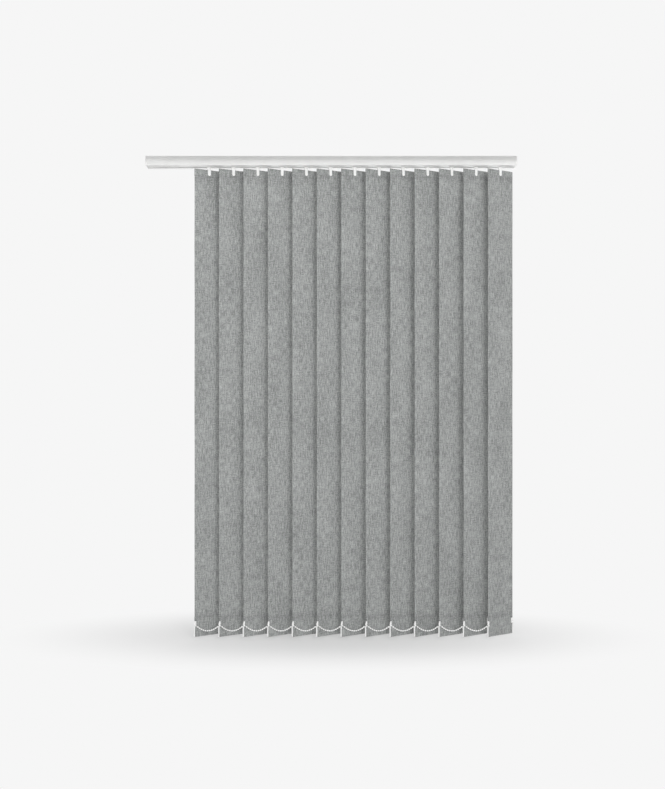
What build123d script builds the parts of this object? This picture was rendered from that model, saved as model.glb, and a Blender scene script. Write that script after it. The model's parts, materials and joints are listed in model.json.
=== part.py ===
# A vertical blind: a ceiling-fixed headrail, geared carriers, fabric louvres, bottom weights
# and two bead chains.
# Millimetres. X runs along the rail, -Y faces the room, +Z is up.
# The origin is the middle of the ceiling plane that the brackets are screwed to.

import math
import os

from build123d import *

# Louvres and their spacing along the rail
louvre_count = 13
louvre_width = 89.0
louvre_length = 1342.0
rest_pitch = 70.0
full_pitch = 80.0
stack_pitch = 20.0
rest_angle = 28.4
end_margin = 44.3

# Headrail
blind_width = 1064.0
cap_thickness = 3.0
cap_edge = 0.8
ceiling_gap = 3.0
rail_depth = 44.0
rail_height = 27.0
rail_wall = 1.6
flange_thickness = 1.4
stem_slot = 12.0
lip_height = 2.0
lip_thickness = 1.2
top_edge = 0.8
bottom_edge_radius = 3.0

# Long sides of the headrail: a flat land, a panel that leans in below it, and a rounded lip
face_land = 5.5
face_recess = 0.8
face_step = 0.8
face_lip = 12.0

# Channel in the rail's top that the ceiling brackets clip into
clip_mouth = 19.0
clip_undercut = 2.5
clip_lip = 1.2
clip_height = 1.8
clip_floor = 1.2

# Ceiling brackets
bracket_count = 3
bracket_inset = 92.0
bracket_length = 26.0
bracket_plate = 1.2
bracket_leg = 1.0
bracket_foot = 2.0
screw_hole_diameter = 4.6
bracket_clearance = 0.3

# Tilt rod
rod_radius = 2.5
rod_groove = 0.6
rod_groove_width = 0.9
rod_lobes = 6
rod_offset = 7.2
rod_clearance = 0.3
rod_end_depth = 10.0
rod_bore_sides = 6

# Carriers
carrier_gap = 1.4
truck_width = 24.0
truck_clearance = 0.4
stem_radius = 3.0
stem_flats = 3.2
stem_clearance = 0.06
stem_bore_sides = 8
stem_cover = 1.2
wheel_radius = 5.0
wheel_width = 4.0
wheel_gap = 0.5
wheel_sides = 8
axle_radius = 1.4
axle_root = 0.5
track_clearance = 0.3

# Spacer strips, in side-by-side lanes so that neighbours slide past each other
lane_count = 5
lane_pitch = 1.15
strip_thickness = 0.5
strip_height = 5.0
strip_cover = 2.0
strip_clearance = 0.3
strip_overrun = 3.0
lane_wall = 1.0

# Hangers
collar_diameter = 12.4
collar_sides = 10
collar_height = 3.4
hanger_depth = 5.0
tongue_width = 8.5
tongue_length = 18.0
tongue_thickness = 1.2
tongue_clearance = 0.25
tongue_chamfer = 2.4
block_overlap = 1.0
neck_width = 7.0
hanger_plate_height = 17.0
hanger_plate_inset = 2.0
hanger_air = 0.3

# Fabric
fabric_thickness = 0.45
fabric_drop = 8.5
insert_thickness = 1.0
insert_clearance = 0.05
top_pocket = 20.0
bottom_pocket = 56.0
seam_height = 2.5
fold_clearance = 0.5
neck_notch_depth = 4.5
neck_notch_clearance = 0.8

# Bottom weights
weight_height = 29.6
rib_width = 3.2
rib_thickness = 0.55
rib_overhang = 0.4
rib_clearance = 0.05
rib_lift = 1.0
pin_inset = 2.5
pin_width = 1.2
clip_head_height = 10.2
clip_head_width = 4.2
clip_head_tip = 2.0
clip_head_depth = 2.2
clip_head_lean = 1.1
clip_notch_clearance = 0.6

# Bottom chains
bead_radius = 2.0
bead_pitch = 6.1
beads_per_span = 11
thread_radius = 0.45
bead_sides = 3
end_thread = 3.4
path_steps = 400
sag_trials = 40
eye_flat_radius = 2.3
eye_hole = 2.2
eye_height = 3.6
eye_clearance = 0.3

# Cord outlets in the control end
cord_hole_diameter = 3.5
cord_hole_sides = 8
cord_hole_spacing = 9.0
plug_length = 20.0

# Heights, from the ceiling down
rail_top = -ceiling_gap
rail_bottom = rail_top - rail_height
flange_top = rail_bottom + flange_thickness
face_lip_top = rail_bottom + face_lip
clip_channel_bottom = rail_top - clip_lip - clip_height
cavity_top = clip_channel_bottom - clip_floor
truck_top = cavity_top - truck_clearance
truck_bottom = flange_top + lip_height + truck_clearance
neck_bottom = rail_bottom - hanger_air
rod_height = truck_top - stem_cover - rod_radius - rod_clearance
wheel_height = flange_top + track_clearance + wheel_radius
strip_top = truck_top - strip_cover
strip_bottom = strip_top - strip_height
lane_floor = strip_bottom - strip_clearance
collar_top = neck_bottom - hanger_air
fabric_top = rail_bottom - fabric_drop
fabric_bottom = fabric_top - louvre_length
hanger_block_bottom = fabric_top + block_overlap
weight_top = fabric_bottom + rib_lift + weight_height
eye_bottom = weight_top + eye_clearance
eye_top = eye_bottom + eye_height
chain_height = (eye_bottom + eye_top) / 2
head_bottom = eye_top + eye_clearance
head_top = head_bottom + clip_head_height

# Widths worked out from the sizes above
rail_length = blind_width - 2 * cap_thickness
rail_end = rail_length / 2
bracket_spacing = (blind_width - 2 * bracket_inset) / (bracket_count - 1)
truck_length = stack_pitch - carrier_gap
cavity_half = rail_depth / 2 - rail_wall
pocket_half = insert_thickness / 2 + insert_clearance
fabric_half = pocket_half + fabric_thickness
rib_half = fabric_half + rib_clearance + rib_thickness
pin_place = louvre_width / 2 - pin_inset
last_axis = blind_width / 2 - end_margin
stem_bore_radius = stem_radius + stem_clearance
rod_bore_radius = rod_radius + rod_clearance
lane_zone_outer = truck_width / 2 - lane_wall
lane_zone_inner = lane_zone_outer - lane_count * lane_pitch - strip_clearance


def axis_x(number):
    """Where louvre 1, 2, 3... has its tilt axis along the rail, at rest."""
    return last_axis - (louvre_count - number) * rest_pitch


def block(x0, x1, y0, y1, z0, z1):
    """A box between two corners."""
    size = (x1 - x0, y1 - y0, z1 - z0)
    middle = ((x0 + x1) / 2, (y0 + y1) / 2, (z0 + z1) / 2)
    return Pos(*middle) * Box(*size)


def rectangle(y0, y1, z0, z1):
    """A rectangle drawn in the cross-section of the rail."""
    return Pos((y0 + y1) / 2, (z0 + z1) / 2) * Rectangle(y1 - y0, z1 - z0)


def along_rail(sketch, x0, x1):
    """The cross-section, run from x0 to x1."""
    return extrude(Plane.YZ.offset(x0) * sketch, x1 - x0)


def turned(shape, number):
    """A shape drawn about its own tilt axis, put on louvre number's axis at the rest angle."""
    return Pos(axis_x(number), 0, 0) * Rot(0, 0, rest_angle) * shape


def outside():
    """The outline that the rail and its caps share, softly rounded below and crisper above."""
    outline = rectangle(-rail_depth / 2, rail_depth / 2, rail_bottom, rail_top)
    corners = outline.vertices().sort_by(Axis.Y)
    outline = fillet(corners[:2], bottom_edge_radius)
    corners = outline.vertices().sort_by(Axis.Y)
    return chamfer(corners[-2:], top_edge)


def leaning_panel(side):
    """What is taken off a long side, so that it leans in towards the lip."""
    face = side * rail_depth / 2
    deepest = side * (rail_depth / 2 - face_recess)
    points = [(face, rail_top - face_land), (deepest, face_lip_top + face_step), (face, face_lip_top)]
    return make_face(Polyline(*points, close=True))


def headrail():
    """The extruded channel: bracket channel above, wheel tracks and stem slot below."""
    mouth_half = clip_mouth / 2
    undercut_half = mouth_half + clip_undercut
    channel_half = undercut_half + clip_floor
    cavity = rectangle(-cavity_half, cavity_half, flange_top, rail_top - rail_wall)
    cavity -= rectangle(-channel_half, channel_half, cavity_top, rail_top)
    for side in (-1, 1):
        edges = sorted((side * stem_slot / 2, side * (stem_slot / 2 + lip_thickness)))
        cavity -= rectangle(*edges, flange_top, flange_top + lip_height)
    section = outside() - leaning_panel(-1) - leaning_panel(1) - cavity
    section -= rectangle(-stem_slot / 2, stem_slot / 2, rail_bottom, flange_top)
    section -= rectangle(-mouth_half, mouth_half, rail_top - clip_lip, rail_top)
    section -= rectangle(-undercut_half, undercut_half, clip_channel_bottom, rail_top - clip_lip)
    return along_rail(section, -rail_end, rail_end)


def rod_passage(x0, x1):
    """A flat-sided hole that clears the tilt rod all round."""
    outline = RegularPolygon(rod_bore_radius, rod_bore_sides, major_radius=False)
    return along_rail(Pos(rod_offset, rod_height) * outline, x0, x1)


def stem_bore(z0, z1):
    """A flat-sided upright hole that clears the turning stem all round."""
    outline = RegularPolygon(stem_bore_radius, stem_bore_sides, major_radius=False)
    return extrude(Plane.XY.offset(z0) * outline, z1 - z0)


def bracket():
    """One ceiling bracket: a plate with a screw hole and two legs that hook under the rail's lips."""
    mouth_half = clip_mouth / 2
    leg_outer = mouth_half - bracket_clearance
    foot_top = rail_top - clip_lip
    foot_bottom = foot_top - bracket_leg
    section = rectangle(-leg_outer, leg_outer, -bracket_plate, 0)
    for side in (-1, 1):
        leg = sorted((side * (leg_outer - bracket_leg), side * leg_outer))
        foot = sorted((side * (leg_outer - bracket_leg), side * (leg_outer + bracket_foot)))
        section += rectangle(*leg, foot_bottom, -bracket_plate)
        section += rectangle(*foot, foot_bottom, foot_top)
    body = along_rail(section, -bracket_length / 2, bracket_length / 2)
    return body - Pos(0, 0, -bracket_plate / 2) * Cylinder(screw_hole_diameter / 2, 2 * bracket_plate)


def ceiling_brackets():
    """The brackets, evenly spaced about the middle of the rail."""
    first = -(bracket_count - 1) / 2 * bracket_spacing
    return [Pos(first + n * bracket_spacing, 0, 0) * bracket() for n in range(bracket_count)]


def plug_section():
    """The part of an end cap that pushes into the rail, over the slot's lips and down beside them."""
    half = cavity_half - truck_clearance
    foot_inner = stem_slot / 2 + lip_thickness + truck_clearance
    section = rectangle(-half, half, truck_bottom, truck_top)
    for side in (-1, 1):
        foot = sorted((side * foot_inner, side * half))
        section += rectangle(*foot, flange_top + track_clearance, truck_bottom)
    return section


def end_cap(side):
    """A cap with its plug and the blind bearing for the tilt rod. side is -1 or 1."""
    face = side * rail_end
    plate = along_rail(outside(), *sorted((face, face + side * cap_thickness)))
    outer_edges = plate.faces().sort_by(Axis.X)[-1 if side > 0 else 0].edges()
    plate = chamfer(outer_edges, cap_edge)
    plug = along_rail(plug_section(), *sorted((face, face - side * plug_length)))
    mouth = face - side * plug_length
    bearing = sorted((mouth, mouth + side * (rod_end_depth + rod_clearance)))
    return plate + plug - rod_passage(*bearing)


def return_end_cap():
    """The cap at the end where the leading louvre parks."""
    return end_cap(-1)


def cord_outlets():
    """Two holes down through the control end, over the rail's slot."""
    place = rail_end - plug_length / 2
    outline = RegularPolygon(cord_hole_diameter / 2, cord_hole_sides)
    hole = extrude(Plane.XY.offset(truck_bottom) * outline, rod_height - truck_bottom)
    return [Pos(place + side * cord_hole_spacing / 2, 0, 0) * hole for side in (-1, 1)]


def control_end_cap():
    """The cap at the stacking end, with its cord outlets and the anchored last carrier on an arm."""
    cap = end_cap(1)
    truck_face = last_axis + truck_length / 2
    arm_half = stem_slot / 4
    arm = block(truck_face, rail_end - plug_length, -arm_half, arm_half, truck_bottom, truck_top)
    cap = cap + arm + truck(louvre_count)
    for hole in cord_outlets():
        cap -= hole
    return cap


def tilt_rod():
    """The grooved rod that turns every carrier's worm."""
    outline = Circle(rod_radius)
    for place in PolarLocations(rod_radius, rod_lobes):
        outline -= place * Rectangle(2 * rod_groove, rod_groove_width)
    half = rail_end - plug_length + rod_end_depth
    return along_rail(Pos(rod_offset, rod_height) * outline, -half, half)


def lane_y(number):
    """The lane of the strip that carrier number pulls."""
    first = lane_zone_outer - strip_clearance - strip_thickness / 2
    return -(first - (number % lane_count) * lane_pitch)


def wheel(side):
    """One track wheel and its stub axle, on a carrier's side."""
    start = side * truck_width / 2
    centre = Pos(0, wheel_height)
    axle_plane = Plane.XZ.offset(-start)
    axle = extrude(axle_plane * centre * RegularPolygon(axle_radius, 4), -side * (wheel_gap + axle_root))
    rim_plane = Plane.XZ.offset(-start - side * wheel_gap)
    rim = extrude(rim_plane * centre * RegularPolygon(wheel_radius, wheel_sides), -side * wheel_width)
    return axle + rim


def truck(number):
    """A carrier: closed gear housing, two wheels, neck for the stem, and the strip to the one before it."""
    half = truck_length / 2
    neck_half = stem_slot / 2 - truck_clearance
    housing = block(-half, half, -truck_width / 2, truck_width / 2, truck_bottom, truck_top)
    housing -= block(-half, half, -lane_zone_outer, -lane_zone_inner, lane_floor, truck_top)
    housing += block(-neck_half, neck_half, -neck_half, neck_half, neck_bottom, truck_bottom)
    for side in (-1, 1):
        housing += wheel(side)
    housing -= stem_bore(neck_bottom, truck_top - stem_cover)
    housing -= rod_passage(-half, half)
    if number > 1:
        y = lane_y(number)
        edges = (y - strip_thickness / 2, y + strip_thickness / 2)
        tail = full_pitch + strip_overrun
        housing += block(-tail, half, *edges, strip_bottom, strip_top)
        housing += block(-half / 2, half / 2, *edges, lane_floor, strip_bottom)
    return Pos(axis_x(number), 0, 0) * housing


def tongue(side):
    """One of the two prongs that hold the louvre's top between them."""
    inner = fabric_half + tongue_clearance
    half = tongue_width / 2
    top = hanger_block_bottom
    tip = top - tongue_length
    cut = tongue_chamfer
    left = [(-half, top), (-half, tip + cut), (cut - half, tip)]
    right = [(half - cut, tip), (half, tip + cut), (half, top)]
    outline = make_face(Polyline(*left, *right, close=True))
    return extrude(Plane.XZ.offset(-side * inner) * outline, -side * tongue_thickness)


def hanger():
    """The turning stem with its collar, block and prongs, and the plate that spreads the fabric's top.

    The stem is round in its bore, with two flats that key it to the worm wheel.
    """
    stem_top = truck_top - stem_cover - hanger_air
    stem = Circle(stem_radius) & Rectangle(2 * stem_radius, stem_flats)
    body = extrude(Plane.XY.offset(collar_top) * stem, stem_top - collar_top)
    collar = RegularPolygon(collar_diameter / 2, collar_sides)
    body += extrude(Plane.XY.offset(collar_top) * collar, -collar_height)
    wide = collar_diameter / 2
    deep = hanger_depth / 2
    body += block(-wide, wide, -deep, deep, hanger_block_bottom, collar_top - collar_height)
    plate_top = fabric_top - fabric_thickness - fold_clearance
    plate_half = louvre_width / 2 - hanger_plate_inset
    thick = insert_thickness / 2
    body += block(-neck_width / 2, neck_width / 2, -thick, thick, plate_top, hanger_block_bottom)
    body += block(-plate_half, plate_half, -thick, thick, plate_top - hanger_plate_height, plate_top)
    return body + tongue(-1) + tongue(1)


def louvre():
    """One strip of cloth, folded and welded into a pocket at the top and one at the bottom."""
    seam_top = fabric_top - top_pocket
    seam_low = fabric_bottom + bottom_pocket
    back = -pocket_half
    outline = [
        (-fabric_half, fabric_bottom),
        (-fabric_half, fabric_top),
        (fabric_half, fabric_top),
        (fabric_half, seam_top),
        (back, seam_top - seam_height),
        (back, seam_low + seam_height),
        (fabric_half, seam_low),
        (fabric_half, fabric_bottom),
    ]
    section = make_face(Polyline(*outline, close=True))
    top_inside = fabric_top - fabric_thickness
    low_inside = fabric_bottom + fabric_thickness
    section -= rectangle(-pocket_half, pocket_half, seam_top + fabric_thickness, top_inside)
    section -= rectangle(-pocket_half, pocket_half, low_inside, seam_low - fabric_thickness)
    half = louvre_width / 2
    cloth = along_rail(section, -half, half)
    notch = neck_width / 2 + neck_notch_clearance
    cloth -= block(-notch, notch, -fabric_half, fabric_half, fabric_top - neck_notch_depth, fabric_top)
    eye_corner = eye_flat_radius / math.cos(math.pi / 6)
    inner = pin_place - eye_corner - clip_notch_clearance
    low = weight_top - clip_notch_clearance
    for edges in ((-half, -inner), (inner, half)):
        cloth -= block(*edges, -fabric_half, fabric_half, low, head_top + clip_notch_clearance)
    return cloth


def chain_clip(side):
    """A pin for the chain's eye and the narrowing, slanted head that keeps the eye on."""
    centre = side * pin_place
    pin = pin_width / 2
    upright = block(centre - pin, centre + pin, -pin, pin, weight_top, head_bottom + pin)
    half, tip = clip_head_width / 2, clip_head_tip / 2
    lean = -side * clip_head_lean
    points = [
        (centre - half, head_bottom),
        (centre + half, head_bottom),
        (centre + tip + lean, head_top),
        (centre - tip + lean, head_top),
    ]
    outline = make_face(Polyline(*points, close=True))
    head = extrude(Plane.XZ.offset(-clip_head_depth / 2) * outline, clip_head_depth)
    return upright + head


def weight():
    """The plate in the bottom pocket, with a rib and a chain clip at each end of the cloth."""
    low = weight_top - weight_height
    thick = insert_thickness / 2
    end = louvre_width / 2 + rib_overhang
    plate_low = fabric_bottom + fabric_thickness + fold_clearance
    body = block(-end, end, -thick, thick, plate_low, weight_top)
    for side in (-1, 1):
        rib = sorted((side * (end - rib_width), side * end))
        body += block(*rib, -rib_half, rib_half, low, weight_top)
        cloth = sorted((side * (end - rib_width), side * louvre_width / 2))
        for face in (-1, 1):
            gap = sorted((face * thick, face * (fabric_half + rib_clearance)))
            body -= block(*cloth, *gap, low, weight_top)
        body += chain_clip(side)
    return body


def span_points():
    """Where the beads' middles and ends lie along one hanging span, as (x, z) from its left end."""
    width = rest_pitch - 2 * eye_flat_radius
    length = 2 * end_thread + beads_per_span * bead_pitch
    low, high = 0.0, width
    steps = path_steps

    def run(sag):
        """The parabola of this sag, as points with the length so far."""
        path, total = [(0.0, 0.0, 0.0)], 0.0
        for n in range(1, steps + 1):
            share = n / steps
            x, z = width * share, -4 * sag * share * (1 - share)
            total += math.hypot(x - path[-1][0], z - path[-1][1])
            path.append((x, z, total))
        return path

    for _ in range(sag_trials):
        sag = (low + high) / 2
        if run(sag)[-1][2] < length:
            low = sag
        else:
            high = sag
    path = run(sag)
    bead_marks = [end_thread + n * bead_pitch / 2 for n in range(2 * beads_per_span + 1)]
    marks = [0.0, *bead_marks, length]
    points = []
    for mark in marks:
        nearest = min(path, key=lambda point: abs(point[2] - mark))
        points.append(nearest[:2])
    return points


def chain_span():
    """One span of bead chain: a faceted skin that swells at each bead and narrows to the thread between."""
    points = span_points()
    rings = []
    for n, (x, z) in enumerate(points):
        before, after = points[max(n - 1, 0)], points[min(n + 1, len(points) - 1)]
        at_end = n in (0, len(points) - 1)
        slope = 0.0 if at_end else math.atan2(after[1] - before[1], after[0] - before[0])
        is_bead = n % 2 == 0 and not at_end
        radius = bead_radius if is_bead else thread_radius
        ring = []
        for k in range(bead_sides):
            angle = 2 * math.pi * k / bead_sides
            up, out = radius * math.cos(angle), radius * math.sin(angle)
            ring.append(Vector(x - up * math.sin(slope), out, z + up * math.cos(slope)))
        rings.append(ring)
    faces = [Face(Wire.make_polygon(ring, close=True)) for ring in (rings[0], rings[-1])]
    for ring, following in zip(rings, rings[1:]):
        for k in range(bead_sides):
            m = (k + 1) % bead_sides
            faces.append(Face(Wire.make_polygon([ring[k], ring[m], following[m]], close=True)))
            faces.append(Face(Wire.make_polygon([ring[k], following[m], following[k]], close=True)))
    return Solid(Shell(faces))


def chain_eye():
    """The flat-sided eye that turns freely on a clip's pin."""
    outline = Rot(0, 0, 30) * RegularPolygon(eye_flat_radius, 6, major_radius=False)
    outline -= Rectangle(eye_hole, eye_hole)
    return extrude(Plane.XY.offset(eye_bottom) * outline, eye_height)


def clip_position(side, number):
    """The pin's place at rest. side is -1 for the room side and 1 for the window side."""
    angle = math.radians(rest_angle)
    return (axis_x(number) + side * pin_place * math.cos(angle), side * pin_place * math.sin(angle), 0)


def chain(side):
    """The spans between all the louvres on one side, with an eye on every clip but the leading one."""
    span = chain_span()
    eye = chain_eye()
    pieces = []
    for number in range(1, louvre_count):
        x, y, _ = clip_position(side, number)
        pieces.append(Pos(x + eye_flat_radius, y, chain_height) * span)
        pieces.append(Pos(*clip_position(side, number + 1)) * eye)
    return pieces


def chain_end(side):
    """The eye on the leading louvre's clip."""
    return Pos(*clip_position(side, 1)) * chain_eye()


def write(name, shape):
    """One file per node."""
    solids = shape if isinstance(shape, list) else [shape]
    whole = Compound(children=[Compound(s.wrapped) if not isinstance(s, Solid) else s for s in solids])
    export_step(whole if len(solids) > 1 else solids[0], f"parts/{name}.step")


def main():
    os.makedirs("parts", exist_ok=True)
    write("headrail", headrail())
    write("ceiling_brackets", ceiling_brackets())
    write("return_end_cap", return_end_cap())
    write("control_end_cap", control_end_cap())
    write("tilt_rod", tilt_rod())
    hanger_shape, louvre_shape, weight_shape = hanger(), louvre(), weight()
    for number in range(1, louvre_count + 1):
        if number < louvre_count:
            write(f"truck_{number:02d}", truck(number))
        write(f"hanger_{number:02d}", turned(hanger_shape, number))
        write(f"louvre_{number:02d}", turned(louvre_shape, number))
        write(f"weight_{number:02d}", turned(weight_shape, number))
    for side, place in ((-1, "front"), (1, "rear")):
        write(f"{place}_chain", chain(side))
        write(f"{place}_chain_end", chain_end(side))


main()
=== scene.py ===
import json
import math

import bpy
import numpy as np
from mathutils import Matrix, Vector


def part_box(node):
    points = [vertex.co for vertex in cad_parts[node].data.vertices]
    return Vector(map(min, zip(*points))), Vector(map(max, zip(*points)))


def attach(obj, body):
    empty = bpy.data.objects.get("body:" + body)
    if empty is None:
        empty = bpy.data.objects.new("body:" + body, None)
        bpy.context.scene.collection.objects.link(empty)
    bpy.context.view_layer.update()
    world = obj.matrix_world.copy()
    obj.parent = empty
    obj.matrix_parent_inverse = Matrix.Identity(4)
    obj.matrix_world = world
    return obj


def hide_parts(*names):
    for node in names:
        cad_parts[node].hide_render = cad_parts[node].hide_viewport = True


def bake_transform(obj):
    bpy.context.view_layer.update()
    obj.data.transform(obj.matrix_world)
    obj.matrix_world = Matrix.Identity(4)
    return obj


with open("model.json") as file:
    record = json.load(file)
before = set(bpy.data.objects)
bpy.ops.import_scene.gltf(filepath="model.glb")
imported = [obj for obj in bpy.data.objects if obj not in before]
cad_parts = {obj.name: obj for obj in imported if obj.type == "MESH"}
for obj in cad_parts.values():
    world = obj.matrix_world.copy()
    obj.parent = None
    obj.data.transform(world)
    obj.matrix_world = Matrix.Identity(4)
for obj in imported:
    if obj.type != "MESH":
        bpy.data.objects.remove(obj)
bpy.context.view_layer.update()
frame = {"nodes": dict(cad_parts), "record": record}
mm = 0.001
blind = {"louvres": 13, "restAngle": 28.4}  # degrees between a louvre and the rail
numbers = range(1, blind["louvres"] + 1)
restTurn = math.radians(blind["restAngle"])
joints = {joint["name"]: joint for joint in frame["record"]["behaviour"]["joints"]}
axisX = [joints[f"tilt_{number:02d}"]["pos_m"][0] for number in numbers]
print("frame loaded,", len(frame["nodes"]), "nodes")


# Colour and node helpers

def colour(code):
    # sRGB hex to linear: below 0.04045 a straight line, above it a 2.4 power
    part = np.array([int(code[i:i + 2], 16) for i in (1, 3, 5)]) / 255
    linear = np.where(part <= 0.04045, part / 12.92, ((part + 0.055) / 1.055) ** 2.4)
    return (*linear.tolist(), 1.0)


def put(tree, kind, inputs=(), stops=(), **settings):
    # one node with its settings; inputs, by name or in order, are values, sockets or nodes whose first output is
    # taken, and a colour ramp's stops are (place, hex)
    node = tree.nodes.new(kind)
    for name, value in settings.items():
        setattr(node, name, value)
    for socket, value in inputs.items() if isinstance(inputs, dict) else enumerate(inputs):
        if isinstance(value, bpy.types.Node):
            value = value.outputs[0]
        if isinstance(value, bpy.types.NodeSocket):
            tree.links.new(value, node.inputs[socket])
        else:
            node.inputs[socket].default_value = value
    if stops:
        band = node.color_ramp.elements
        while len(band) < len(stops):
            band.new(0.5)
        for element, (place, code) in zip(band, stops):
            element.position = place
            element.color = colour(code)
    return node


def newMaterial(name):
    # a material with an empty node tree to build in
    material = bpy.data.materials.new(name)
    material.use_nodes = True
    tree = material.node_tree
    tree.nodes.clear()
    return material, tree


def finishMaterial(tree, inputs):
    # the shader takes what varies from the pattern, and everything uniform on its own sockets
    put(tree, "ShaderNodeOutputMaterial", {"Surface": put(tree, "ShaderNodeBsdfPrincipled", inputs)})


# Materials

linen = {
    "threadSpacing": 1.3,  # mm; the real threads are about 0.5 mm apart and would not show
    "threadWander": 9.0,  # radians by which the slubs push the threads aside
    # each pattern's width and length in mm, its detail and roughness, and its share of the tone
    "slub": (2.9, 21.0, 3.0, 0.6, 1.15),  # the thick places in the upright threads
    "cross": (17.0, 3.1, 3.0, 0.6, 0.55),  # the same in the cross threads
    "speck": (3.0, 3.0, 2.0, 0.55, 0.85),  # single dark and light knots
    "drift": (60.0, 140.0, 1.0, 0.55, 0.25),  # a slow change over the whole louvre
    "weaveTone": 0.05, "toneRange": (1.12, 1.68),
    "dark": "#7b7d7c", "middle": "#9c9e9d", "light": "#bcbebd",
    # the seams' darkening, and painted shade on the doubled pockets for the light from behind that they stop
    "seamShade": 0.86, "pocketShade": 0.95,
    "relief": {"weave": 0.5, "slub": 1.4, "cross": 0.9}, "reliefHeight": 0.16, "reliefStrength": 0.8,
}


def linenCloth():
    # polyester linen-look blind cloth, woven and stiffened: matt, with upright slubs, fine cross threads and a mottle
    # tone = the patterns by their shares + the weave, which is sin(x turns + slub) times sin(y turns + cross)
    material, tree = newMaterial("woven linen-look polyester cloth")
    place = put(tree, "ShaderNodeUVMap", uv_map="cloth")
    pattern, tone = {}, 0.0
    for name in ("slub", "cross", "speck", "drift"):
        wide, long, detail, rough, share = linen[name]
        size = (1 / (wide * mm), 1 / (long * mm), 1.0)
        scaled = put(tree, "ShaderNodeMapping", {"Vector": place, "Scale": size})
        inputs = {"Vector": scaled, "Scale": 1.0, "Detail": detail, "Roughness": rough}
        pattern[name] = put(tree, "ShaderNodeTexNoise", inputs)
        tone = put(tree, "ShaderNodeMath", (pattern[name], share, tone), operation="MULTIPLY_ADD")
    turns = 2 * math.pi / (linen["threadSpacing"] * mm)
    parts = put(tree, "ShaderNodeSeparateXYZ", {"Vector": place})
    threads = []
    for axis, name in (("X", "slub"), ("Y", "cross")):
        even = put(tree, "ShaderNodeMath", (parts.outputs[axis], turns), operation="MULTIPLY")
        pushed = (pattern[name], linen["threadWander"], even)
        wander = put(tree, "ShaderNodeMath", pushed, operation="MULTIPLY_ADD")
        threads.append(put(tree, "ShaderNodeMath", (wander,), operation="SINE"))
    pattern["weave"] = put(tree, "ShaderNodeMath", threads, operation="MULTIPLY")
    tone = put(tree, "ShaderNodeMath", (pattern["weave"], linen["weaveTone"], tone), operation="MULTIPLY_ADD")
    tone = put(tree, "ShaderNodeMapRange", (tone, *linen["toneRange"], 0.0, 1.0))
    stops = [(0.0, linen["dark"]), (0.5, linen["middle"]), (1.0, linen["light"])]
    cloth = put(tree, "ShaderNodeValToRGB", (tone,), stops)
    for name in ("seam", "pocket"):  # pressed seams are darker, and the doubled pockets carry painted shade for the light from behind that two layers stop
        mask = put(tree, "ShaderNodeAttribute", attribute_name=name).outputs["Fac"]
        shade = put(tree, "ShaderNodeMapRange", (mask, 0.0, 1.0, 1.0, linen[name + "Shade"]))
        cloth = put(tree, "ShaderNodeVectorMath", {0: cloth, "Scale": shade}, operation="SCALE")
    height = 0.0
    for name, share in linen["relief"].items():
        height = put(tree, "ShaderNodeMath", (pattern[name], share, height), operation="MULTIPLY_ADD")
    bumped = {"Height": height, "Distance": linen["reliefHeight"] * mm, "Strength": linen["reliefStrength"]}
    finishMaterial(tree, {
        "Base Color": cloth, "Normal": put(tree, "ShaderNodeBump", bumped),
        "Roughness": 0.92, "Specular IOR Level": 0.25, "Sheen Weight": 0.12, "Sheen Roughness": 0.5,
    })
    return material


noise, cells = "ShaderNodeTexNoise", "ShaderNodeTexVoronoi"


def moulded(low, high, rough, grain):
    # moulded plastic: an even colour with the faintest cloud in it, and a fine mould texture, grain mm wide
    return {
        "cloud": (noise, (9.0, 9.0, 9.0), 2.0), "texture": (noise, (grain, grain, grain), 3.0),
        "range": (0.3, 0.7), "colours": (low, high), "roughness": (rough - 0.05, rough + 0.05),
        "relief": (0.02, 0.5), "uniform": {"IOR": 1.49},
    }


# each has its pattern's kind, its size in mm and its detail, for the tint and for the roughness and the relief
surfaces = {
    "hanger": ("white moulded polycarbonate", moulded("#f6f6f5", "#fbfbfa", 0.32, 0.5)),
    "weight": ("white moulded polypropylene", moulded("#f5f5f4", "#fafaf9", 0.36, 0.6)),
    "bead": ("white moulded nylon", moulded("#f7f7f6", "#fcfcfb", 0.30, 0.4)),
    "cap": ("white moulded ABS", moulded("#eaeae9", "#f0f0ef", 0.40, 0.7)),
    "carrier": ("natural moulded acetal", moulded("#e6e6e2", "#eeeeea", 0.34, 0.6)),
    # white polyester powder baked on: satin, with a very fine orange peel
    "rail": ("white powder-coated extruded aluminium", {
        "cloud": (noise, (45.0, 45.0, 45.0), 2.0), "texture": (noise, (1.1, 1.1, 1.1), 2.0),
        "range": (0.3, 0.7), "colours": ("#e3e3e2", "#e9e9e8"), "roughness": (0.36, 0.46),
        "relief": (0.03, 0.5), "uniform": {"IOR": 1.5},
    }),
    # zinc plating: cool grey metal with a soft spangle
    "steel": ("zinc-plated pressed steel", {
        "cloud": (cells, (2.5, 2.5, 2.5), 0.0), "texture": (cells, (2.5, 2.5, 2.5), 0.0),
        "range": (0.0, 1.0), "colours": ("#a9acaf", "#c8cbcd"), "roughness": (0.3, 0.45),
        "relief": (0.01, 0.4), "uniform": {"Metallic": 1.0},
    }),
    # mill finish: fine lines along the rod, as the die leaves them
    "rod": ("mill-finish extruded aluminium", {
        "cloud": (noise, (60.0, 0.3, 0.3), 2.0), "texture": (noise, (60.0, 0.3, 0.3), 2.0),
        "range": (0.3, 0.7), "colours": ("#b7b9bb", "#cfd1d3"), "roughness": (0.28, 0.42),
        "relief": (0.01, 0.4), "uniform": {"Metallic": 1.0},
    }),
}


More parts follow.
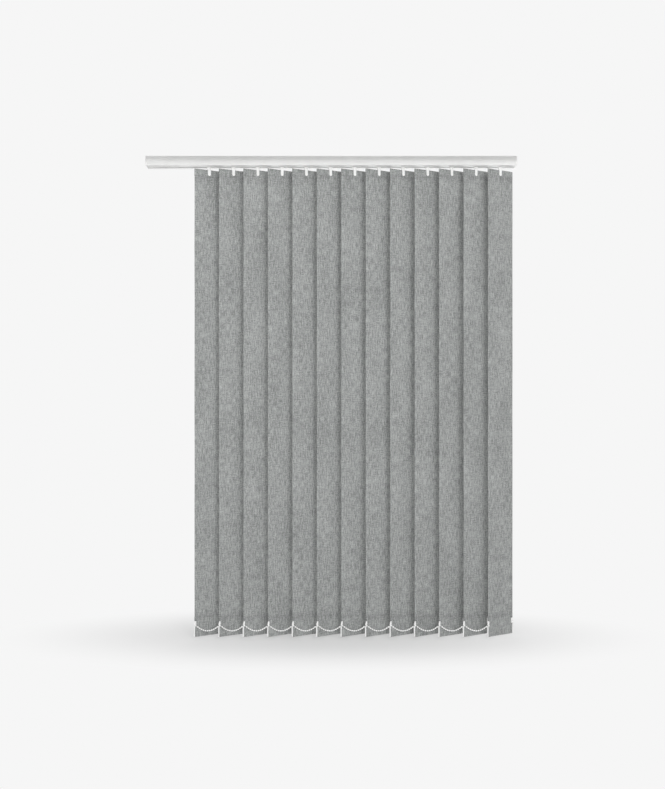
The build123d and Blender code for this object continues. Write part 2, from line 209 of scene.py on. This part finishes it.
def hardFinish(name, surface):
    # a cloud tints the surface between two colours; a texture roughens it and raises it by some hundredths of a mm
    material, tree = newMaterial(name)
    place = put(tree, "ShaderNodeTexCoord").outputs["Object"]
    patterns = []
    for kind, sizes, detail in (surface["cloud"], surface["texture"]):
        scales = [1 / (size * mm) for size in sizes]
        scaled = put(tree, "ShaderNodeMapping", {"Vector": place, "Scale": scales})
        patterns.append(put(tree, kind, {"Vector": scaled, "Scale": 1.0, "Detail": detail}))
    cloud, texture = patterns
    height, strength = surface["relief"]
    bumped = {"Height": texture, "Distance": height * mm, "Strength": strength}
    stops = list(zip(surface["range"], surface["colours"]))
    finishMaterial(tree, {
        "Base Color": put(tree, "ShaderNodeValToRGB", (cloud,), stops),
        "Roughness": put(tree, "ShaderNodeMapRange", (texture, *surface["range"], *surface["roughness"])),
        "Normal": put(tree, "ShaderNodeBump", bumped), **surface["uniform"],
    })
    return material


finishes = {"cloth": linenCloth()}
for key, (name, surface) in surfaces.items():
    finishes[key] = hardFinish(name, surface)
print("materials made,", len(finishes))


# Mesh helpers

def gridFaces(rows, columns, keep=None, roundRows=False, roundColumns=False):
    # every cell of a grid as a quad, in whole arrays; keep is a mask of cells
    down, over = rows if roundRows else rows - 1, columns if roundColumns else columns - 1
    row, column = np.meshgrid(np.arange(down), np.arange(over), indexing="ij")
    nextRow, nextColumn = (row + 1) % rows, (column + 1) % columns
    corners = [row * columns + column, row * columns + nextColumn]
    corners += [nextRow * columns + nextColumn, nextRow * columns + column]
    quads = np.stack(corners, axis=-1)
    return quads[keep] if keep is not None else quads.reshape(-1, 4)


def makeObject(name, points, faces, material):
    # a smooth mesh at the origin, with its finish and its slot
    mesh = bpy.data.meshes.new(name)
    mesh.from_pydata(points.tolist(), [], [list(map(int, face)) for face in faces])
    mesh.validate()
    mesh.materials.append(material)
    mesh.polygons.foreach_set("use_smooth", np.full(len(mesh.polygons), True))
    mesh.update()
    piece = bpy.data.objects.new(name, mesh)
    bpy.context.scene.collection.objects.link(piece)
    return piece


def joined(parts):
    # several (points, faces) into one
    points, faces, base = [], [], 0
    for partPoints, partFaces in parts:
        points.append(partPoints)
        faces += [[int(corner) + base for corner in face] for face in partFaces]
        base += len(partPoints)
    return np.concatenate(points), faces


def hangAt(points, number):
    # from a louvre's own axes (across, through, up) to its place: turned by the rest angle about its axis
    across, through, up = points[..., 0], points[..., 1], points[..., 2]
    cos, sin = math.cos(restTurn), math.sin(restTurn)
    return np.stack([axisX[number - 1] + across * cos - through * sin, across * sin + through * cos, up], axis=-1)


def soften(piece, width):
    # every edge sharper than 35 degrees is rounded over
    edge = piece.modifiers.new("rounded edges", "BEVEL")
    edge.width = width
    edge.segments = 2
    edge.limit_method = "ANGLE"
    edge.angle_limit = math.radians(35)
    edge.harden_normals = True


def tube(rings):
    # rings of points (rows, around, 3) skinned together, with a cap on each end
    rows, around = rings.shape[:2]
    faces = gridFaces(rows, around, roundColumns=True).tolist()
    faces.append(list(range(around))[::-1])
    faces.append([(rows - 1) * around + corner for corner in range(around)])
    return rings.reshape(-1, 3), faces


def facingOut(points, faces):
    # signed volume by the divergence theorem; a skin that is inside out is turned
    volume = 0.0
    for face in faces:
        first = points[face[0]]
        for second, third in zip(face[1:], face[2:]):
            volume += np.dot(first, np.cross(points[second], points[third]))
    return (points, faces) if volume > 0 else (points, [list(face)[::-1] for face in faces])


def superRing(halfWide, halfDeep, power, around):
    # |x/a|^n + |y/b|^n = 1, walked by angle: power 2 is an ellipse, and a high one is nearly a rectangle
    turn = np.linspace(0, 2 * math.pi, around, endpoint=False)
    x = halfWide * np.sign(np.cos(turn)) * np.abs(np.cos(turn)) ** (2 / power)
    y = halfDeep * np.sign(np.sin(turn)) * np.abs(np.sin(turn)) ** (2 / power)
    return x, y


def upright(levels, power, around):
    # a column of rounded-rectangle sections; levels are (z, centre across, centre through, half wide, half deep)
    rings = []
    for z, centreX, centreY, halfWide, halfDeep in levels:
        x, y = superRing(halfWide, halfDeep, power, around)
        rings.append(np.stack([x + centreX, y + centreY, np.full_like(x, z)], axis=-1))
    return facingOut(*tube(np.array(rings)))


def turnedPart(profile, centre, around):
    # a profile of (radius, z) spun about an upright line
    profile = np.array(profile)
    turn = np.linspace(0, 2 * math.pi, around, endpoint=False)
    x = centre[0] + profile[:, :1] * np.cos(turn)
    y = centre[1] + profile[:, :1] * np.sin(turn)
    z = np.repeat(profile[:, 1:], around, axis=1)
    return np.stack([x, y, z], axis=-1)


# Sizes that several pieces share, read from the frame

clothLow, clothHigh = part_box("louvre_01")[0][2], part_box("louvre_01")[1][2]
eyeLow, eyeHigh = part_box("front_chain_end")[0][2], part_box("front_chain_end")[1][2]
eyeAir = 0.3 * mm  # over and under each chain eye
weightTop = eyeLow - eyeAir
weightLow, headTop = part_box("weight_01")[0][2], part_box("weight_01")[1][2]
pinAcross = 42.0 * mm


# Louvres

louvre = {
    "halfWidth": 44.5 * mm, "cloth": 0.45 * mm,
    "layer": 0.775 * mm,  # from the pocket's middle to the cloth's middle
    "topPocket": 20 * mm, "bottomPocket": 56 * mm, "seam": 2.5 * mm,
    "neckNotch": 4.3 * mm, "neckDepth": 4.5 * mm,
    "clipNotch": 5.8 * mm, "clipAir": 0.6 * mm,
    "topRows": (5 * mm, 10 * mm), "hemRows": (6 * mm, 16 * mm), "rowStep": 26 * mm, "lastRow": 8 * mm,
    "foldSteps": 9, "tailSteps": 5,
    "columns": (3, 7, 3, 7, 3),  # over the clip notch, the free half, the hook notch and back
    "wave": 0.35 * mm, "waveLength": 420 * mm, "waveCrown": 0.4, "waveStep": 2.4,
    "secondWave": 0.6, "secondLength": 0.57, "flat": 20 * mm, "ease": 120 * mm,
    "patternShift": (0.131, 0.417),  # metres of cloth from one louvre's pattern to the next, so no two are alike
}


def clothPath():
    # the cloth's middle line in its section: from the top tail over the fold, down the front, round the hem and
    # up the back; the folds are half circles, and the tails ease to the front layer by a smoothstep
    out, tuck = louvre["layer"], louvre["cloth"] - louvre["layer"]
    arc = np.linspace(0, math.pi, louvre["foldSteps"])
    topBend = clothHigh - louvre["layer"] - louvre["cloth"] / 2
    lowBend = clothLow + louvre["layer"] + louvre["cloth"] / 2
    topSeam, lowSeam, seam = clothHigh - louvre["topPocket"], clothLow + louvre["bottomPocket"], louvre["seam"]
    ease = np.linspace(0, 1, louvre["tailSteps"])
    smooth = ease * ease * (3 - 2 * ease)
    topRows = [topSeam + row for row in louvre["topRows"]] + [clothHigh - louvre["neckDepth"]]
    hemRows = [clothLow + row for row in louvre["hemRows"]]
    hemRows += [weightTop - louvre["clipAir"], headTop + louvre["clipAir"]]
    topTail = np.stack([tuck + (out - tuck) * smooth, topSeam - seam * (1 - ease)], axis=-1)
    topBack = np.array([[out, z] for z in topRows])
    topFold = np.stack([out * np.cos(arc), topBend + out * np.sin(arc)], axis=-1)
    frontTop = topRows[::-1] + [topSeam, topSeam - seam / 2, topSeam - seam]
    middle = np.arange(topSeam - seam - louvre["rowStep"], lowSeam + seam + louvre["lastRow"], -louvre["rowStep"])
    frontLow = [lowSeam + seam, lowSeam + seam / 2, lowSeam] + hemRows[::-1]
    frontZ = np.concatenate([frontTop, middle, frontLow])
    frontLine = np.stack([np.full_like(frontZ, -out), frontZ], axis=-1)
    hem = np.stack([-out * np.cos(arc), lowBend - out * np.sin(arc)], axis=-1)
    hemBack = np.array([[out, z] for z in hemRows])
    lowTail = np.stack([out + (tuck - out) * smooth, lowSeam + seam * ease], axis=-1)
    return np.concatenate([topTail, topBack, topFold, frontLine, hem, hemBack, lowTail])


def louvreCloth(number):
    # the section's line carried across the width: a grid of path by width, with the hook and clip notches left open
    path = clothPath()
    run = np.concatenate([[0], np.cumsum(np.hypot(*np.diff(path, axis=0).T))])
    half, notch = louvre["halfWidth"], louvre["neckNotch"]
    clipEdge = half - louvre["clipNotch"]
    marks = (-half, -clipEdge, -notch, notch, clipEdge, half)
    runs = [np.linspace(left, right, count) for left, right, count in zip(marks, marks[1:], louvre["columns"])]
    across, along = np.meshgrid(np.unique(np.concatenate(runs).round(7)), run)
    through = np.repeat(path[:, :1], across.shape[1], axis=1)
    up = np.repeat(path[:, 1:], across.shape[1], axis=1)
    topSeam, lowSeam = clothHigh - louvre["topPocket"], clothLow + louvre["bottomPocket"]
    # the free cloth bows very slightly, each louvre a little differently, and the inserts hold it flat:
    # a sine and a shorter cosine down the louvre, times a slope and a crown across it
    free = np.clip((topSeam - louvre["flat"] - up) / louvre["ease"], 0, 1)
    free = free * np.clip((up - lowSeam - louvre["flat"]) / louvre["ease"], 0, 1)
    free = free * free * (3 - 2 * free)
    phase, length = louvre["waveStep"] * number, louvre["waveLength"]
    bow = np.sin(2 * math.pi * up / length + phase)
    bow = bow + louvre["secondWave"] * np.cos(2 * math.pi * up / (louvre["secondLength"] * length) - phase)
    crown = across / half + louvre["waveCrown"] * np.cos(math.pi * across / half)
    through = through + louvre["wave"] * free * bow * crown
    cellAcross, cellUp = (across[:-1, :-1] + across[1:, 1:]) / 2, (up[:-1, :-1] + up[1:, 1:]) / 2
    hook = (np.abs(cellAcross) < notch) & (cellUp > clothHigh - louvre["neckDepth"])
    clip = (cellUp > weightTop - louvre["clipAir"]) & (cellUp < headTop + louvre["clipAir"])
    faces = gridFaces(*across.shape, keep=~(hook | (clip & (np.abs(cellAcross) > clipEdge))))
    points = hangAt(np.stack([across, through, up], axis=-1), number).reshape(-1, 3)
    piece = makeObject(f"louvreCloth{number:02d}", points, faces, finishes["cloth"])
    mesh = piece.data
    corner = np.empty(len(mesh.loops), dtype=np.int32)
    mesh.loops.foreach_get("vertex_index", corner)
    shiftAcross, shiftAlong = louvre["patternShift"]
    uv = np.stack([across.ravel() + shiftAcross * number, along.ravel() + shiftAlong * number], axis=-1)
    mesh.uv_layers.new(name="cloth").data.foreach_set("uv", uv[corner].ravel())
    # the welds are pressed darker, and where the cloth is doubled it gets painted shade, standing in for the light
    # from behind that does not come through two layers
    seamMiddles = (topSeam - louvre["seam"] / 2, lowSeam + louvre["seam"] / 2)
    seam = sum(np.exp(-((up - middle) / louvre["seam"]) ** 2) for middle in seamMiddles)
    pocket = ((up > topSeam - louvre["seam"]) | (up < lowSeam + louvre["seam"])).astype(float)
    for attribute, values in (("seam", seam), ("pocket", pocket)):
        mesh.attributes.new(attribute, "FLOAT", "POINT").data.foreach_set("value", values.ravel())
    thick = piece.modifiers.new("cloth thickness", "SOLIDIFY")
    thick.thickness = louvre["cloth"]
    thick.offset = 0.0
    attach(piece, f"louvre_body_{number:02d}")
    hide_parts(f"louvre_{number:02d}")


# Hangers

hanger = {
    "stem": 3.0 * mm, "collar": 6.2 * mm, "collarTall": 3.4 * mm, "edge": 0.5 * mm,
    "railAir": 0.6 * mm, "clothAir": 1.0 * mm, "softEdge": 0.25 * mm,
    "blockHalf": (6.2 * mm, 2.5 * mm), "blockInCollar": 0.1 * mm,
    # the block's rounded foot: height over its end, and how much less half width and half depth it has there
    "blockFoot": ((1.2 * mm, 0.0, 0.0), (0.4 * mm, 0.3 * mm, 0.2 * mm), (0.0, 1.0 * mm, 0.7 * mm)),
    "tongueHalf": (4.25 * mm, 0.6 * mm), "tongueLong": 18 * mm, "tongueInBlock": 1.5 * mm,
    "tongueOut": 1.85 * mm, "tipHalf": 0.4 * mm, "tipThin": 0.55,
    "neckHalf": (3.5 * mm, 0.5 * mm), "neckSunk": 1 * mm,
    "plateHalf": (42.5 * mm, 0.5 * mm), "plateTall": 17 * mm, "plateDrop": 0.95 * mm,
    "plateEdge": (0.3 * mm, 0.2 * mm),
}


def hangerPart(number):
    # a spun stem and collar, a rounded block, two prongs whose tips are quarter turns of a cosine, and the plate that
    # spreads the cloth
    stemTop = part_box("hanger_01")[1][2]
    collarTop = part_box("headrail")[0][2] - hanger["railAir"]
    collarLow = collarTop - hanger["collarTall"]
    blockLow = clothHigh + hanger["clothAir"]
    stem, collar, edge = hanger["stem"], hanger["collar"], hanger["edge"]
    profile = [(stem - edge, stemTop), (stem, stemTop - edge), (stem, collarTop), (collar - edge, collarTop)]
    profile += [(collar, collarTop - edge), (collar, collarLow + edge), (collar - edge, collarLow)]
    parts = [facingOut(*tube(turnedPart(profile, (0, 0), around=32)))]
    wide, deep = hanger["blockHalf"]
    block = [(collarLow + hanger["blockInCollar"], 0, 0, wide, deep)]
    block += [(blockLow + rise, 0, 0, wide - slim, deep - flat) for rise, slim, flat in hanger["blockFoot"]]
    parts.append(upright(block, power=7.0, around=32))
    wide, deep = hanger["tongueHalf"]
    tip, thin = blockLow - hanger["tongueLong"], hanger["tipThin"]
    for side in (-1, 1):
        out = side * hanger["tongueOut"]
        levels = [(blockLow + hanger["tongueInBlock"], 0, out, wide, deep)]
        for turn in np.linspace(0, math.pi / 2, 8):
            narrow, flat = max(wide * math.cos(turn), hanger["tipHalf"]), thin + (1 - thin) * math.cos(turn)
            levels.append((tip + wide * (1 - math.sin(turn)), 0, out, narrow, deep * flat))
        parts.append(upright(levels, power=6.0, around=24))
    wide, deep = hanger["neckHalf"]
    plateTop, sunk = clothHigh - hanger["plateDrop"], hanger["neckSunk"]
    neck = [(blockLow + sunk, 0, 0, wide, deep), (plateTop - sunk, 0, 0, wide, deep)]
    parts.append(upright(neck, power=6.0, around=20))
    wide, deep = hanger["plateHalf"]
    plateLow, (slim, flat) = plateTop - hanger["plateTall"], hanger["plateEdge"]
    plate = [(plateTop, 0, 0, wide - slim, deep - flat), (plateTop - slim, 0, 0, wide, deep)]
    plate += [(plateLow + slim, 0, 0, wide, deep), (plateLow, 0, 0, wide - slim, deep - flat)]
    parts.append(upright(plate, power=24.0, around=40))
    points, faces = joined(parts)
    piece = makeObject(f"hanger{number:02d}", hangAt(points, number), faces, finishes["hanger"])
    soften(piece, hanger["softEdge"])
    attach(piece, f"louvre_body_{number:02d}")
    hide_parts(f"hanger_{number:02d}")


# Bottom weights and their chain clips

weight = {
    "end": 46.4 * mm, "ribWide": 2.8 * mm, "ribHalf": 1.6 * mm, "ribInner": 1.05 * mm, "corner": 0.6 * mm,
    "endWall": 0.45 * mm, "plateHalf": 0.5 * mm, "plateLow": 0.95 * mm, "softEdge": 0.15 * mm,
    "shoulder": 0.5 * mm, "shoulderDeep": 1.2 * mm, "shoulderInset": 0.05 * mm,
    "pinHalf": 0.75 * mm, "pinSunk": 0.2 * mm, "pinInHead": 0.8 * mm,
    # the head's sides, from the pin outwards
    "headInner": -2.5 * mm, "headOuter": 4.4 * mm, "headTip": 1.4 * mm, "headDeep": 1.5 * mm,
    # the head's section swells and closes again as it rises
    "headSwell": ((0.0, 0.75), (0.05, 0.95), (0.12, 1.0), (0.88, 1.0), (0.96, 0.85), (1.0, 0.5)),
}


def ribPart(side):
    # a U in plan, wrapped round the cloth's end: outer and inner outline in one ring, carried upwards
    mouth, end, corner = weight["end"] - weight["ribWide"], weight["end"], weight["corner"]
    half, slot, inside = weight["ribHalf"], weight["ribInner"], end - weight["endWall"]
    arc = np.linspace(0, math.pi / 2, 5)
    outer = [(mouth, -half)]
    outer += [(end - corner + corner * math.sin(turn), -half + corner - corner * math.cos(turn)) for turn in arc]
    outer += [(end - corner + corner * math.cos(turn), half - corner + corner * math.sin(turn)) for turn in arc]
    outer += [(mouth, half)]
    inner = [(mouth, slot), (inside, slot), (inside, -slot), (mouth, -slot)]
    plan = np.array(outer + inner)
    x, y = side * plan[:, 0], plan[:, 1]
    rings = [np.stack([x, y, np.full_like(x, z)], axis=-1) for z in (weightLow, weightTop)]
    return facingOut(*tube(np.array(rings)))


def weightPart(number):
    # the plate in the hem pocket, a rib round each end, and on each rib a pin with a slanted head
    plateLow, plateEnd = clothLow + weight["plateLow"], weight["end"] - weight["endWall"]
    plate = [(z, 0, 0, plateEnd, weight["plateHalf"]) for z in (plateLow, weightTop)]
    parts = [upright(plate, power=30.0, around=40)]
    for side in (-1, 1):
        parts.append(ribPart(side))
        pin, centre = weight["pinHalf"], side * pinAcross
        inner, outer = pinAcross + weight["headInner"], weight["end"] - weight["shoulderInset"]
        middle, half = side * (inner + outer) / 2, (outer - inner) / 2
        shoulderZ = (weightTop - weight["shoulder"], weightTop)
        shoulder = [(z, middle, 0, half, weight["shoulderDeep"]) for z in shoulderZ]
        parts.append(upright(shoulder, power=8.0, around=20))
        pinZ = (weightTop - weight["pinSunk"], eyeHigh + weight["pinInHead"])
        parts.append(upright([(z, centre, 0, pin, pin) for z in pinZ], power=2.0, around=16))
        headLow, headTall = eyeHigh + eyeAir, headTop - eyeHigh - eyeAir
        head = []
        for share, swell in weight["headSwell"]:
            outer = weight["headOuter"] + (weight["headTip"] - weight["headOuter"]) * share
            middle = centre + side * (weight["headInner"] + outer) / 2
            half = swell * (outer - weight["headInner"]) / 2
            head.append((headLow + headTall * share, middle, 0, half, weight["headDeep"] * swell))
        parts.append(upright(head, power=4.0, around=20))
    points, faces = joined(parts)
    piece = makeObject(f"weight{number:02d}", hangAt(points, number), faces, finishes["weight"])
    soften(piece, weight["softEdge"])
    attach(piece, f"louvre_body_{number:02d}")
    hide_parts(f"weight_{number:02d}")


for number in numbers:
    hangerPart(number)
    louvreCloth(number)
    weightPart(number)
print("louvres hung,", blind["louvres"])


# Bottom chains

chain = {
    "bead": 2.2 * mm, "beadLong": 2.7 * mm, "beadRings": 5, "beadSides": 8, "pitch": 6.1 * mm, "beads": 11,
    "endThread": 3.4 * mm, "thread": 0.5 * mm, "threadSteps": 49, "threadSides": 6,
    "eyeFlat": 2.3 * mm, "eyeRim": 2.55 * mm, "eyeHole": 1.1 * mm, "eyeRound": 0.9 * mm, "eyeEdge": 0.2 * mm,
    "poleGap": 0.3,  # radians left open at each end of a bead, where the thread goes in
}
chainHeight = (eyeLow + eyeHigh) / 2


def hangingLine(width, length, samples):
    # z = -4 s t (1 - t), its sag s found by halving until the line has its length; returned at equal steps of length
    share = np.linspace(0, 1, 2001)
    low, high = 0.0, width
    for _ in range(50):
        sag = (low + high) / 2
        steps = np.hypot(np.diff(width * share), np.diff(-4 * sag * share * (1 - share)))
        run = np.concatenate([[0], np.cumsum(steps)])
        low, high = (sag, high) if run[-1] < length else (low, sag)
    marks = np.array(samples) * run[-1] / length
    at = np.interp(marks, run, share)
    return np.stack([width * at, -4 * sag * at * (1 - at)], axis=-1)


def beadBarrel(centre, slope):
    # latitude rings, drawn out along the thread and flat where it goes in
    pole = math.pi / 2 - chain["poleGap"]
    latitude = np.linspace(-pole, pole, chain["beadRings"])
    longitude = np.linspace(0, 2 * math.pi, chain["beadSides"], endpoint=False)
    along, ring = chain["beadLong"] * np.sin(latitude), chain["bead"] * np.cos(latitude)
    cos, sin = math.cos(slope), math.sin(slope)
    up, out = ring[:, None] * np.cos(longitude), ring[:, None] * np.sin(longitude)
    x = centre[0] + along[:, None] * cos - up * sin
    z = centre[1] + along[:, None] * sin + up * cos
    return facingOut(*tube(np.stack([x, out, z], axis=-1)))


def clipPlace(side, number):
    # the louvre's axis, plus the pin's reach along the louvre as it rests
    reach = side * pinAcross
    return axisX[number - 1] + reach * math.cos(restTurn), reach * math.sin(restTurn)


def chainSpan(name, side, number):
    # beads at equal steps along the hanging line, threaded on a thin tube
    length = 2 * chain["endThread"] + chain["beads"] * chain["pitch"]
    left, right = clipPlace(side, number), clipPlace(side, number + 1)
    width = right[0] - left[0] - 2 * chain["eyeFlat"]
    line = hangingLine(width, length, np.linspace(0, length, chain["threadSteps"]))
    slope = np.arctan2(*np.gradient(line, axis=0).T[::-1])
    turn = np.linspace(0, 2 * math.pi, chain["threadSides"], endpoint=False)
    up, out = chain["thread"] * np.cos(turn), chain["thread"] * np.sin(turn)
    ringX = line[:, :1] - np.sin(slope)[:, None] * up
    ringZ = line[:, 1:] + np.cos(slope)[:, None] * up
    ringY = np.repeat(out[None, :], len(line), axis=0)
    parts = [facingOut(*tube(np.stack([ringX, ringY, ringZ], axis=-1)))]
    marks = chain["endThread"] + chain["pitch"] * (np.arange(chain["beads"]) + 0.5)
    places = hangingLine(width, length, marks)
    slopes = np.interp(places[:, 0], line[:, 0], slope)
    parts += [beadBarrel(place, beadSlope) for place, beadSlope in zip(places, slopes)]
    points, faces = joined(parts)
    points = points + np.array([left[0] + chain["eyeFlat"], left[1], chainHeight])
    return makeObject(f"{name}Span{number:02d}", points, faces, finishes["bead"])


def chainEye(name, side, number):
    # a rounded ring: its section is an upright rectangle with two rounded corners, spun about the pin
    hole, rim, soft, edge = chain["eyeHole"], chain["eyeRim"], chain["eyeRound"], chain["eyeEdge"]
    arc = np.linspace(0, math.pi / 2, 5)
    profile = [(hole, eyeLow + edge), (hole + edge, eyeLow)]
    profile += [(rim - soft + soft * math.sin(turn), eyeLow + soft - soft * math.cos(turn)) for turn in arc]
    profile += [(rim - soft + soft * math.cos(turn), eyeHigh - soft + soft * math.sin(turn)) for turn in arc]
    profile += [(hole + edge, eyeHigh), (hole, eyeHigh - edge)]
    rings = turnedPart(profile, clipPlace(side, number), around=24)
    faces = gridFaces(*rings.shape[:2], roundRows=True, roundColumns=True).tolist()
    points, faces = facingOut(rings.reshape(-1, 3), faces)
    return makeObject(f"{name}Eye{number:02d}", points, faces, finishes["bead"])


def gatherShare(number):
    # how far louvre 1, 2, 3... goes for each metre that the leading one goes
    return (blind["louvres"] - number) / (blind["louvres"] - 1)


def unsmooth(share):
    # the t whose smoothstep t*t*(3 - 2t) is the share
    return 0.5 - math.sin(math.asin(1 - 2 * share) / 3)


def blendLine(side, number):
    # start and end of a blend that gives both of a span's clips exactly their own share of the travel
    leftX, rightX = clipPlace(side, number)[0], clipPlace(side, number + 1)[0]
    leftTime, rightTime = unsmooth(gatherShare(number)), unsmooth(gatherShare(number + 1))
    reach = (leftX - rightX) / (leftTime - rightTime)
    startX = rightX - rightTime * reach
    y = clipPlace(side, number)[1]
    return (startX, y, chainHeight), (startX + reach, y, chainHeight)


for side, name in ((-1, "front"), (1, "rear")):
    for number in numbers[:-1]:
        span = chainSpan(name, side, number)
        start, end = blendLine(side, number)
        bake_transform(span)
        if number == 1:
            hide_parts(f"{name}_chain")
    for number in numbers:
        eye = chainEye(name, side, number)
        if number == 1:
            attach(eye, f"{name}_chain_lead")
            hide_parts(f"{name}_chain_end")
        else:
            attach(eye, f"louvre_body_{number:02d}")
print("chains hung")


# Rail and running gear keep their own shapes

keptNodes = {
    "headrail": "rail", "return_end_cap": "cap", "control_end_cap": "cap",
    "ceiling_brackets": "steel", "tilt_rod": "rod",
}
keptNodes.update({f"truck_{number:02d}": "carrier" for number in numbers[:-1]})
for node, finish in keptNodes.items():
    slots = frame["nodes"][node].data.materials
    slots.clear()
    slots.append(finishes[finish])
print("rail finished")


# Studio

studio = {
    "cameraPlace": (3.6 * mm, -2.523, -0.6861), "lens": 39.87,
    "page": "#f6f6f6", "paint": "#f4f4f4", "worldLight": 0.25,
    "floorDrop": 9 * mm, "floorBack": 0.55, "floorWide": 6.0, "floorGlow": 0.25,
    # the floor turns to the plain page colour towards the rim of this ellipse
    "fadeMiddle": 0.03, "fadeDeep": 0.36, "fadeWide": 1.0, "fadeFrom": 0.1,
    "cardHalf": 0.75, "cardFront": -0.19, "cardBack": -0.03,
    "flagAt": -0.062, "flagLow": -18 * mm, "flagHigh": -7 * mm,
}

camera = bpy.data.cameras.new("camera")
camera.lens = studio["lens"]
camera.sensor_width = 36.0
cameraObject = bpy.data.objects.new("camera", camera)
cameraObject.location = studio["cameraPlace"]
cameraObject.rotation_euler = (math.radians(90), 0, 0)
bpy.context.scene.collection.objects.link(cameraObject)
bpy.context.scene.camera = cameraObject


def paleSheet(name, points):
    # a white sheet that takes the blind's shadow near it, and fades for the camera into the plain page further out:
    # share of plain colour = smoothstep of the distance from the ellipse's middle, in its half axes
    mesh = bpy.data.meshes.new(name)
    mesh.from_pydata(points, [], [(0, 1, 2, 3)])
    material, tree = newMaterial(name + " paint")
    material.cycles.emission_sampling = "NONE"  # its glow is for the camera alone and lights nothing
    paint = put(tree, "ShaderNodeBsdfDiffuse", {"Color": colour(studio["paint"])})
    glow = put(tree, "ShaderNodeEmission", {"Color": colour(studio["page"])})
    place = put(tree, "ShaderNodeTexCoord").outputs["Object"]
    middle = (0, -studio["fadeMiddle"] / studio["fadeDeep"], 0)
    size = (1 / studio["fadeWide"], 1 / studio["fadeDeep"], 0)
    ellipse = put(tree, "ShaderNodeMapping", {"Vector": place, "Location": middle, "Scale": size})
    away = put(tree, "ShaderNodeVectorMath", (ellipse,), operation="LENGTH").outputs["Value"]
    limits = (away, studio["fadeFrom"], 1.0, studio["floorGlow"], 1.0)
    fade = put(tree, "ShaderNodeMapRange", limits, interpolation_type="SMOOTHSTEP")
    seen = put(tree, "ShaderNodeLightPath").outputs["Is Camera Ray"]
    share = put(tree, "ShaderNodeMath", (seen, fade), operation="MULTIPLY")
    put(tree, "ShaderNodeOutputMaterial", {"Surface": put(tree, "ShaderNodeMixShader", (share, paint, glow))})
    mesh.materials.append(material)
    sheet = bpy.data.objects.new(name, mesh)
    bpy.context.scene.collection.objects.link(sheet)
    return sheet


floorZ, wide, end = clothLow - studio["floorDrop"], studio["floorWide"], studio["floorBack"]
paleSheet("floor", [(-wide, -wide, floorZ), (wide, -wide, floorZ), (wide, end, floorZ), (-wide, end, floorZ)])

# two sheets out of the camera's sight, one over and one before the rail, that shade its front
half, front, back = studio["cardHalf"], studio["cardFront"], studio["cardBack"]
card = paleSheet("card", [(-half, front, mm), (half, front, mm), (half, back, mm), (-half, back, mm)])
at, low, high = studio["flagAt"], studio["flagLow"], studio["flagHigh"]
flag = paleSheet("flag", [(-half, at, low), (half, at, low), (half, at, high), (-half, at, high)])
card.visible_camera = flag.visible_camera = False

world = bpy.data.worlds.new("studio")
bpy.context.scene.world = world
world.use_nodes = True
tree = world.node_tree
tree.nodes.clear()
rays = put(tree, "ShaderNodeLightPath").outputs
seen = put(tree, "ShaderNodeMath", (rays["Is Camera Ray"], rays["Is Glossy Ray"]), operation="MAXIMUM")
seen = put(tree, "ShaderNodeMath", (seen, rays["Is Transmission Ray"]), operation="MAXIMUM")
lightSky = put(tree, "ShaderNodeBackground", {"Color": (1, 1, 1, 1), "Strength": studio["worldLight"]})
pageSky = put(tree, "ShaderNodeBackground", {"Color": colour(studio["page"]), "Strength": 1.0})
put(tree, "ShaderNodeOutputWorld", {"Surface": put(tree, "ShaderNodeMixShader", (seen, lightSky, pageSky))})

# each lamp's place and aim, its size in metres and its watts
lamps = {
    "front": ((-0.3, -3.4, -0.1), (0.0, 0.0, -0.6), (6.0, 2.6), 101),  # wide and soft, from before it
    "key": ((1.1, -3.2, 0.2), (0.0, 0.0, -0.6), (0.7, 1.4), 15),  # draws the shadow at each louvre's back edge
    "back": ((0.6, 1.9, -1.2), (0.0, 0.0, -0.1), (3.0, 1.0), 38),  # under the rail and between the louvres
    "top": ((0.0, 0.25, 1.7), (0.0, 0.25, 0.0), (2.4, 1.2), 18),  # soft, for the rail's top
}
for name, (place, aim, size, watts) in lamps.items():
    lamp = bpy.data.lights.new(name, "AREA")
    lamp.shape = "RECTANGLE"
    lamp.size, lamp.size_y = size
    lamp.energy = watts
    light = bpy.data.objects.new(name, lamp)
    light.visible_camera = False
    light.location = place
    way = np.array(aim) - np.array(place)
    tilt, turn = math.atan2(math.hypot(way[0], way[1]), -way[2]), math.atan2(way[1], way[0]) - math.pi / 2
    light.rotation_euler = (tilt, 0, turn)
    bpy.context.scene.collection.objects.link(light)
print("studio lit")

bpy.context.scene.view_settings.view_transform = "Standard"
